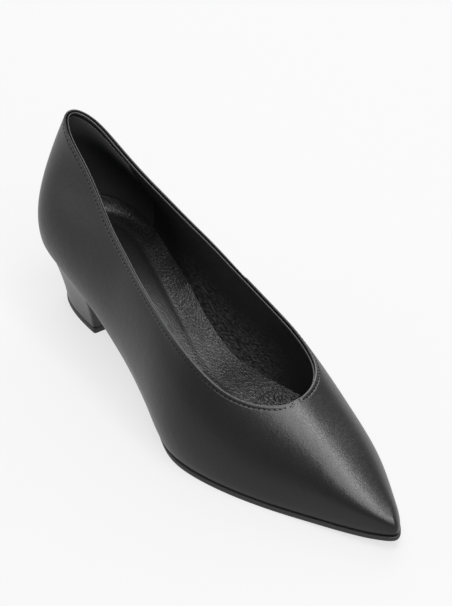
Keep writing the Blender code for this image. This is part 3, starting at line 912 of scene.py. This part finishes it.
def grip_row(fronts, share, depth):
    """One row of the heel grip, from its lateral front edge to its medial one, and how much painted
    sheen it gets.
    """
    start = fronts[0] + (fronts[1] - fronts[0]) * share
    t = start + (LAST.period - 2 * start) * np.linspace(0, 1, GRIP_COLUMNS)
    top = LAST.top_shares(t)
    last_tenth = np.linalg.norm(LAST.point(t, top) - LAST.point(t, top * 0.9), axis=1)
    drop = GRIP_DROP / (last_tenth / (0.1 * top))
    points = LAST.wall(t, (top - drop) * share, depth)
    return points, smooth_step(share, *GRIP_PAINTED_SHEEN) * smooth_step(points[:, 1], *GRIP_PAINTED_SHEEN_SIDE)


def build_grip(sizes, material):
    """Heel grip: a thin patch round the back of the lining."""
    fronts = [LAST.column_where(x, FEATHER) for x in GRIP_FRONT]
    shares = np.linspace(GRIP_FOOT, 1, GRIP_ROWS)
    loft, faces = Loft(), []
    for depth in (LINING_DEPTH + GRIP_GAP, LINING_DEPTH + sizes.grip / MM):
        rows, marks = zip(*[grip_row(fronts, share, depth) for share in shares])
        faces.append(np.array(loft.stack(rows, closed=False, marks=marks)))
    back, front = faces
    for end in (0, -1):
        loft.strip(back[end], front[end], closed=False)
    for end in (0, -1):
        loft.strip(back[:, end], front[:, end], closed=False)
    return loft.piece("heel_grip", material)


# Sock


# Height of the sock's edge above the feather line, which cups up at the heel and under the arch
SOCK_EDGE = (
    FloorRow(0.0, 10.0),
    FloorRow(10.0, 8.0),
    FloorRow(20.0, 5.4),
    FloorRow(36.0, 3.2),
    FloorRow(55.0, 3.4),
    FloorRow(74.0, 6.4),
    FloorRow(92.0, 4.0),
    FloorRow(120.0, 2.8),
    FloorRow(LENGTH, 2.6),
)
# No higher than this on the lateral side
LATERAL_EDGE = (FloorRow(0.0, 10.0), FloorRow(40.0, 3.2), FloorRow(LENGTH, 2.6))
SOCK_INSET, SOCK_FLOOR = 2.05, 0.7     # its edge inside the feather line, its flat middle above that
BOARD_INSET = SOCK_INSET + 0.9         # lower edge of its board
SOCK_RIBS = 61
SOCK_END = 0.05                        # its last column lies this far from the back, in t
PLATE_START, PLATE_CROWD = 0.35, 0.5   # first column of a plate, in t, and spacing of the columns
MIDDLE_Y = (-4, 4)                     # the lateral edge passes into the medial one over this

# Rising side: its width, what that grows by along x, and how steeply it climbs, most of all at the heel
SIDE_WIDTH, SIDE_GROWTH, SIDE_GROWS = 10.3, 5.5, (80, 132)
CLIMB_POWER, HEEL_POWER, HEEL_X = 1.6, 3.4, (30, 46)

# Valley between the flat middle and the rising side, which sets in and fades out along x
VALLEY_DEPTH, VALLEY_WIDTH = 0.35, 1.6
VALLEY_BEGINS, VALLEY_ENDS = (6, 20), (140, 175)
PLEATS = Hill(3.0, 1.7, 0.16)          # by the distance in from the edge

# How crinkled the rising side and the forefoot are, and where that sets in; past a half, at the
# forefoot, the crests also get painted glints
SIDE_CRINKLE, SIDE_SETS_IN, HEEL_SMOOTHNESS = 0.45, (0.02, 0.2), 0.7
ARCH_GRAIN, ARCH_X = 0.4, (70, 105)
FRONT_GRAIN, FRONT_X = 0.6, (120, 150)

# Long wrinkles of the sock's cupped side: x, and distance in from the sock's edge
SOCK_CREASES = (
    Crease((42, 8.6), (60, 7.8), -0.09, 0.6),
    Crease((46, 5.4), (72, 5.8), -0.08, 0.55),
    Crease((56, 2.8), (86, 3.6), -0.09, 0.55),
    Crease((64, 7.6), (92, 8.4), -0.09, 0.6),
    Crease((78, 5.6), (108, 6.6), -0.09, 0.55),
    Crease((90, 3.0), (118, 4.6), -0.08, 0.55),
    Crease((96, 9.0), (124, 11.0), -0.08, 0.6),
    Crease((106, 6.8), (136, 8.8), -0.09, 0.6),
    Crease((116, 3.4), (142, 4.6), -0.08, 0.55),
    Crease((126, 10.6), (150, 12.4), -0.08, 0.6),
    Crease((132, 6.4), (156, 7.6), -0.08, 0.6),
)


def feather_outline(t, inset):
    """Plan points of the feather line at columns t, moved in by inset."""
    step = STEP_T * LAST.period
    run = unit((LAST.column(t + step)[:, FEATHER] - LAST.column(t - step)[:, FEATHER])[:, :2])
    inward = np.stack([run[:, 1], -run[:, 0]], axis=1)
    return LAST.column(t)[:, FEATHER, :2] + inward * np.reshape(inset, (-1, 1))


def both_sides(t, inset):
    """Plan points down the lateral and down the medial side, which face each other."""
    return [feather_outline(places, inset) for places in (t, LAST.period - t)]


def plate_columns(end, vamp_count, waist_count):
    """Columns of a plate from just behind the toe tip to its end."""
    vamp = spread(PLATE_START, LAST.throat, vamp_count, PLATE_CROWD)
    return np.concatenate([vamp, spread(LAST.throat, end, waist_count, PLATE_CROWD)[1:]])


def plate_ring(t, inset, drop):
    """Ring down the lateral side and back up the medial side, at the feather height less drop."""
    lateral, medial = both_sides(t, inset)
    plan = np.vstack([lateral, medial[::-1]])
    return np.column_stack([plan, feather_height(plan[:, 0]) - drop])


def path_length(path):
    """Running length along a path of points."""
    return np.concatenate([[0.0], np.cumsum(np.linalg.norm(np.diff(path, axis=0), axis=1))])


def along_path(path, run, places):
    """Points at places along a path with this running length."""
    return np.column_stack([np.interp(places, run, path[:, k]) for k in range(path.shape[1])])


def sock_pleats(run):
    """Small uneven pleats, 1.9 mm wide, where the sock is drawn in along its edge round the heel."""
    def wave(length, shift=0.0):
        return np.sin(2 * np.pi * run / length + shift)

    wander = 0.9 * wave(11) + 0.6 * wave(5.3)
    return wave(1.9, wander) * (0.65 + 0.35 * wave(7.1))


def sock_surface(plan, outline, run):
    """Height of the sock above the feather line, and how crinkled it is: a flat smooth middle, a
    crinkled side that rises to the edge, and pleats round the heel. Where the mark passes a half, at the
    forefoot, the crinkles' crests get painted glints."""
    gaps = np.linalg.norm(plan[:, None] - outline[None], axis=2)
    nearest, inward = gaps.argmin(axis=1), gaps.min(axis=1)
    x, medial = plan[:, 0], smooth_step(plan[:, 1], *MIDDLE_Y)
    edge, lateral_edge = [np.interp(x, *np.array(rows).T) for rows in (SOCK_EDGE, LATERAL_EDGE)]
    edge = edge * medial + np.minimum(edge, lateral_edge) * (1 - medial)
    side = SIDE_WIDTH + SIDE_GROWTH * smooth_step(x, *SIDE_GROWS)
    climb = np.clip(1 - inward / side, 0, 1)
    heel = 1 - smooth_step(x, *HEEL_X)
    height = SOCK_FLOOR + (edge - SOCK_FLOOR) * climb ** (CLIMB_POWER + HEEL_POWER * heel)
    long_way = smooth_step(x, *VALLEY_BEGINS) * (1 - smooth_step(x, *VALLEY_ENDS))
    height -= VALLEY_DEPTH * bump_curve(inward, side, VALLEY_WIDTH) * long_way
    height += hill(inward, PLEATS) * sock_pleats(run[nearest]) * heel
    height += crease_relief(SOCK_CREASES, x, inward) * medial
    crinkled = SIDE_CRINKLE * smooth_step(climb, *SIDE_SETS_IN) * (1 - HEEL_SMOOTHNESS * heel)
    grained = ARCH_GRAIN * smooth_step(x, *ARCH_X) + FRONT_GRAIN * smooth_step(x, *FRONT_X)
    return height, np.maximum(crinkled, grained)


def build_sock(material):
    """Sock on its insole board, filling the inside of the upper at its lower edge."""
    t = plate_columns(LAST.half - SOCK_END, *SOCK_COLUMNS)
    lateral, medial = both_sides(t, SOCK_INSET)
    outline = np.vstack([lateral, medial[::-1]])
    run = path_length(outline)
    loft, rows, marks = Loft(), [], []
    for across in np.sin(np.linspace(-np.pi / 2, np.pi / 2, SOCK_RIBS)):
        plan = (lateral * (1 - across) + medial * (1 + across)) / 2
        height, mark = sock_surface(plan, outline, run)
        rows.append(np.column_stack([plan, feather_height(plan[:, 0]) + height]))
        marks.append(mark)
    top = np.array(loft.stack(rows, closed=False, marks=marks))
    board = both_sides(t, BOARD_INSET)
    base = [loft.lay(np.column_stack([plan, feather_height(plan[:, 0])])) for plan in board]
    loft.strip(base[0], top[0], closed=False)
    loft.strip(top[-1], base[1], closed=False)
    loft.strip(base[1], base[0], closed=False)
    half = SOCK_RIBS // 2
    for end in (0, -1):
        loft.fan(base[0][end], np.append(top[:half + 1, end], base[1][end]))
        loft.fan(base[1][end], top[half:, end])
    return loft.piece("sock", material)


# Sole, heel and lift


SOLE_EDGE_SHARE = 0.6         # share of the sole's edge that stands upright
SOLE_BEVEL = 0.8              # below that the edge is rounded in by this much
SOLE_BEVEL_STEPS = np.radians((25, 50, 75, 90))
HEEL_RING, HEEL_LEVELS, SEAT_RIBS, LIFT_RIBS = 240, 30, 40, 40
BREAST_ROUND = 2.0            # reach of the rounding of the heel's breast edges
COVER_TUCK, COVER_DROP = 0.5, 0.12     # the heel's cover is turned in above the lift
LIFT_ROUND = 1.1              # reach of the rounding of the lift's corners
LIFT_CENTRE = np.array([(LIFT_BACK + LIFT_FRONT) / 2, 0.0])

# Rows of the lift from the top: height, and how far each is drawn in, which eases the edges
LIFT_ROWS = (
    (LIFT_THICK, 0.5), (LIFT_THICK - 0.15, 0.1), (LIFT_THICK - 0.5, 0.0),
    (0.4, 0.0), (0.1, 0.12), (0.0, 0.4),
)


def build_outsole(material):
    """Sole from the toe to the heel breast, with a buffed, rounded edge."""
    t = plate_columns(LAST.column_where(BREAST_X + GAP, FEATHER), *BOTTOM_COLUMNS)
    tuck = 1 - smooth_step(LAST.column(t)[:, FEATHER, 0], *WAIST_X)
    inset = -SOLE_EDGE_OUT + (SOLE_EDGE_OUT + SOLE_EDGE_IN) * tuck
    # Rows down the edge: how far in, and how far below the feather line
    edge = [(0.45, GAP / 2), (0.12, GAP), (0.0, GAP + 0.3), (0.0, GAP + SOLE_EDGE_SHARE * SOLE_THICK)]
    for angle in SOLE_BEVEL_STEPS:
        share = SOLE_EDGE_SHARE + (1 - SOLE_EDGE_SHARE) * np.sin(angle)
        edge.append((SOLE_BEVEL * (1 - np.cos(angle)), GAP + SOLE_THICK * share))
    loft = Loft()
    index = loft.stack([plate_ring(t, inset + further, drop) for further, drop in edge])
    for end in (0, -1):
        loft.rib(index[end])
    return loft.piece("outsole_rubber", material)


def rounded(ring, count, reach):
    """A closed ring resampled evenly, with its corners rounded over a reach on each side."""
    loop = np.vstack([ring, ring[:1]])
    run = path_length(loop)
    even = along_path(loop, run, np.linspace(0, run[-1], count, endpoint=False))
    steps = np.arange(count)
    away = np.minimum(steps, count - steps) * run[-1] / count
    weight = np.exp(-(away / reach) ** 2)
    spectrum = np.fft.rfft(weight / weight.sum())[:, None]
    return np.fft.irfft(np.fft.rfft(even, axis=0) * spectrum, count, axis=0)


def drawn_in(ring, distance):
    """A ring of the heel, drawn in towards the lift's middle."""
    inner = ring.copy()
    inner[:, :2] += unit(LIFT_CENTRE - ring[:, :2]) * distance
    return inner


def lift_ring(height):
    """Outline of the lift: straight at the breast, and half a super-ellipse round the back."""
    angle = np.linspace(np.pi / 2, 0, LIFT_RIBS)
    power = 2 / LIFT_SQUARENESS
    along = LIFT_FRONT - (LIFT_FRONT - LIFT_BACK) * np.cos(angle) ** power
    half_width = LIFT_HALF_WIDTH * np.sin(angle) ** power
    lateral = np.column_stack([along, -half_width, np.full(LIFT_RIBS, height)])
    return np.vstack([lateral, (lateral * (1, -1, 1))[-2::-1]])


def build_heel(material):
    """Block heel in its leather cover, with rounded breast edges, drawn in a little half way."""
    breast = LAST.column_where(BREAST_X, FEATHER)
    t = breast + (LAST.half - breast) * np.linspace(0, 1, SEAT_RIBS)
    seat = np.delete(plate_ring(t, SEAT_INSET, GAP), SEAT_RIBS, axis=0)
    seat = rounded(seat, HEEL_RING, BREAST_ROUND)
    foot = rounded(lift_ring(LIFT_THICK + GAP), HEEL_RING, BREAST_ROUND)
    rows = []
    for share in np.linspace(0, 1, HEEL_LEVELS):
        rows.append(drawn_in(seat * (1 - share) + foot * share, HEEL_WAIST * 4 * share * (1 - share)))
    rows.append(drawn_in(rows[-1], COVER_TUCK) - (0, 0, COVER_DROP))
    loft = Loft()
    loft.close_both(loft.stack(rows), rows)
    return loft.piece("heel_cover", material)


def build_lift(material):
    """Top lift: wearing piece under the heel, its edges eased."""
    rows = [drawn_in(rounded(lift_ring(z), HEEL_RING, LIFT_ROUND), inset) for z, inset in LIFT_ROWS]
    loft = Loft()
    loft.close_both(loft.stack(rows), rows)
    return loft.piece("top_lift_rubber", material)


# Stitching


STITCH_DEPTH = 0.1            # the thread's middle lies this far inside the surface
STITCH_SIDES, STITCH_RINGS = 8, 7
STITCH_REACH = 0.24           # half length of a stitch, as a share of the pitch
STITCH_DIP = 0.16             # how far its ends dive into the leather
STITCH_TIP = 0.02             # radius at its ends


def even_points(path, pitch):
    """Points and directions at an even pitch along a closed path."""
    loop = np.vstack([path, path[:1]])
    run = path_length(loop)
    count = int(round(run[-1] / pitch))
    at = np.arange(count) * run[-1] / count
    steps = (0.0, pitch / 4, -pitch / 4)
    here, ahead, behind = [along_path(loop, run, np.mod(at + step, run[-1])) for step in steps]
    return here, unit(ahead - behind)


def build_stitches(sizes, material):
    """Topline stitching: one row of short stitches in the channel below the folded edge."""
    collar = Collar(LAST, *UPPER_COLUMNS)
    inset, pitch, thick = sizes.stitch_inset / MM, sizes.stitch_pitch / MM, sizes.thread / MM
    path, below = [collar.inset(inset, depth)[:-1] for depth in (STITCH_DEPTH, STITCH_DEPTH + 1)]
    middles, runs = even_points(path, pitch)
    nearest = np.linalg.norm(middles[:, None] - path[None], axis=2).argmin(axis=1)
    sides = unit(np.cross(unit(path - below)[nearest], runs))
    outwards = np.cross(runs, sides)
    turn = np.linspace(0, 2 * np.pi, STITCH_SIDES, endpoint=False)[:, None]
    loft = Loft()
    for middle, run, outward, side in zip(middles, runs, outwards, sides):
        rings = []
        for place in np.linspace(-1, 1, STITCH_RINGS):
            girth = thick / 2 * np.sqrt(max(1 - place ** 2, 0.0)) + STITCH_TIP
            centre = middle + run * place * pitch * STITCH_REACH - outward * STITCH_DIP * place ** 2
            rings.append(centre + girth * (np.cos(turn) * side + np.sin(turn) * outward))
        loft.close_both(loft.stack(rings), rings)
    return loft.piece("topline_stitching", material)


# Stage


def add_floor(scene):
    """Level square panel that the shoe stands on."""
    stage = scene.pump_stage
    half = stage.floor_size / 2
    mesh = bpy.data.meshes.new("floor")
    corners = [(-half, -half, 0), (half, -half, 0), (half, half, 0), (-half, half, 0)]
    mesh.from_pydata(corners, [], [(0, 1, 2, 3)])
    mesh.materials.append(sanded_opal_acrylic_white(scene.pump_colours, stage.floor_glow))
    floor = bpy.data.objects.new("floor", mesh)
    scene.collection.objects.link(floor)


def add_softboxes(scene):
    """Softboxes, each aimed at the shoe."""
    for box in SOFTBOXES:
        lamp = bpy.data.lights.new(box.name + "_softbox", "AREA")
        lamp.shape = "RECTANGLE"
        lamp.size, lamp.size_y = box.width, box.depth
        lamp.energy = getattr(scene.pump_stage, box.name + "_power")
        softbox = bpy.data.objects.new(lamp.name, lamp)
        softbox.location = box.place
        aim = Vector(LIGHT_TARGET) - softbox.location
        softbox.rotation_euler = aim.to_track_quat("-Z", "Y").to_euler()
        scene.collection.objects.link(softbox)


def add_sky(scene):
    """Even white light from all round."""
    world = bpy.data.worlds.new("studio")
    world.use_nodes = True
    background = world.node_tree.nodes["Background"]
    background.inputs["Strength"].default_value = scene.pump_stage.sky
    background.inputs["Color"].default_value = (1, 1, 1, 1)
    scene.world = world


def add_camera(scene):
    """The photograph's camera, with the photograph's frame."""
    azimuth, elevation, roll = np.radians((SHOT.azimuth, SHOT.elevation, SHOT.roll))
    level = np.array((np.cos(azimuth), np.sin(azimuth), 0.0))
    away = np.array((np.sin(azimuth), -np.cos(azimuth), 0.0))
    back = away * np.cos(elevation) + np.array((0.0, 0.0, np.sin(elevation)))
    upright = np.cross(back, level)
    right = np.cos(roll) * level + np.sin(roll) * upright
    up = np.cos(roll) * upright - np.sin(roll) * level
    eye = (np.array(SHOT.target) + ORIGIN + back * SHOT.distance) * MM
    placed = np.vstack([np.column_stack([right, up, back, eye]), (0, 0, 0, 1)])
    camera = bpy.data.cameras.new("camera")
    longer = max(PHOTO_SIZE)
    camera.lens = camera.sensor_width * SHOT.scale * SHOT.distance / longer
    camera.shift_x = (PHOTO_SIZE[0] / 2 - SHOT.pixel[0]) / longer
    camera.shift_y = (SHOT.pixel[1] - PHOTO_SIZE[1] / 2) / longer
    viewer = bpy.data.objects.new("camera", camera)
    viewer.matrix_world = Matrix(placed.tolist())
    scene.collection.objects.link(viewer)
    scene.camera = viewer


# Operators


def settle(piece, slot, *nodes):
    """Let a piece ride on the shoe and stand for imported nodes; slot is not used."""
    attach(piece, "root")
    if nodes:
        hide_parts(*nodes)


class PUMP_OT_upper(bpy.types.Operator):
    """Build the outer leather with its folded topline"""
    bl_idname = "pump.upper"
    bl_label = "Upper leather"

    def execute(self, context):
        scene = context.scene
        leather = smooth_calf_leather_black(scene.pump_colours)
        settle(build_upper(scene.pump_sizes, leather), "upper_leather", "upper")
        return {"FINISHED"}


class PUMP_OT_lining(bpy.types.Operator):
    """Build the lining and the heel grip"""
    bl_idname = "pump.lining"
    bl_label = "Lining and heel grip"

    def execute(self, context):
        scene = context.scene
        settle(build_lining(drum_dyed_lining_leather_black(scene.pump_colours)), "sock_leather")
        suede = sueded_grip_leather_black(scene.pump_colours)
        settle(build_grip(scene.pump_sizes, suede), "sock_leather")
        return {"FINISHED"}


class PUMP_OT_sock(bpy.types.Operator):
    """Build the sock on its board"""
    bl_idname = "pump.sock"
    bl_label = "Sock"

    def execute(self, context):
        goatskin = glazed_goatskin_sock_black(context.scene.pump_colours)
        settle(build_sock(goatskin), "sock_leather", "insole")
        return {"FINISHED"}


class PUMP_OT_stitching(bpy.types.Operator):
    """Sew along the topline"""
    bl_idname = "pump.stitching"
    bl_label = "Stitching"

    def execute(self, context):
        scene = context.scene
        thread = twisted_polyester_thread_black(scene.pump_colours)
        settle(build_stitches(scene.pump_sizes, thread), "upper_leather")
        return {"FINISHED"}


class PUMP_OT_bottom(bpy.types.Operator):
    """Build the outsole, the covered heel and the top lift"""
    bl_idname = "pump.bottom"
    bl_label = "Sole, heel and lift"

    def execute(self, context):
        colours = context.scene.pump_colours
        settle(build_outsole(pressed_rubber_sole_black(colours)), "sole", "outsole")
        settle(build_heel(smooth_calf_leather_black(colours)), "heel_cover", "heel")
        settle(build_lift(pressed_rubber_sole_black(colours)), "lift", "top_lift")
        return {"FINISHED"}


class PUMP_OT_stage(bpy.types.Operator):
    """Set the floor, the light and the camera"""
    bl_idname = "pump.stage"
    bl_label = "Stage"

    def execute(self, context):
        for add in (add_floor, add_softboxes, add_sky, add_camera):
            add(context.scene)
        context.scene.view_settings.view_transform = "Standard"
        return {"FINISHED"}


OPERATORS = (
    PUMP_OT_upper, PUMP_OT_lining, PUMP_OT_sock, PUMP_OT_stitching, PUMP_OT_bottom, PUMP_OT_stage,
)


class PUMP_PT_panel(bpy.types.Panel):
    """Buttons of the pieces and the stage, and their settings"""
    bl_idname = "PUMP_PT_panel"
    bl_label = "Block-heel pump"
    bl_space_type = "VIEW_3D"
    bl_region_type = "UI"
    bl_category = "Pump"

    def draw(self, context):
        for operator in OPERATORS:
            self.layout.operator(operator.bl_idname)
        for group in (context.scene.pump_sizes, context.scene.pump_colours, context.scene.pump_stage):
            for name in group.__annotations__:
                self.layout.prop(group, name)


CLASSES = (PumpSizes, PumpColours, PumpStage, *OPERATORS, PUMP_PT_panel)


def register():
    for item in CLASSES:
        bpy.utils.register_class(item)
    bpy.types.Scene.pump_sizes = PointerProperty(type=PumpSizes)
    bpy.types.Scene.pump_colours = PointerProperty(type=PumpColours)
    bpy.types.Scene.pump_stage = PointerProperty(type=PumpStage)


def unregister():
    for name in ("pump_sizes", "pump_colours", "pump_stage"):
        delattr(bpy.types.Scene, name)
    for item in reversed(CLASSES):
        bpy.utils.unregister_class(item)


def main():
    """Build the pump and its stage."""
    register()
    bpy.ops.pump.upper()
    bpy.ops.pump.lining()
    bpy.ops.pump.sock()
    bpy.ops.pump.stitching()
    bpy.ops.pump.bottom()
    bpy.ops.pump.stage()


if __name__ == "__main__":
    main()
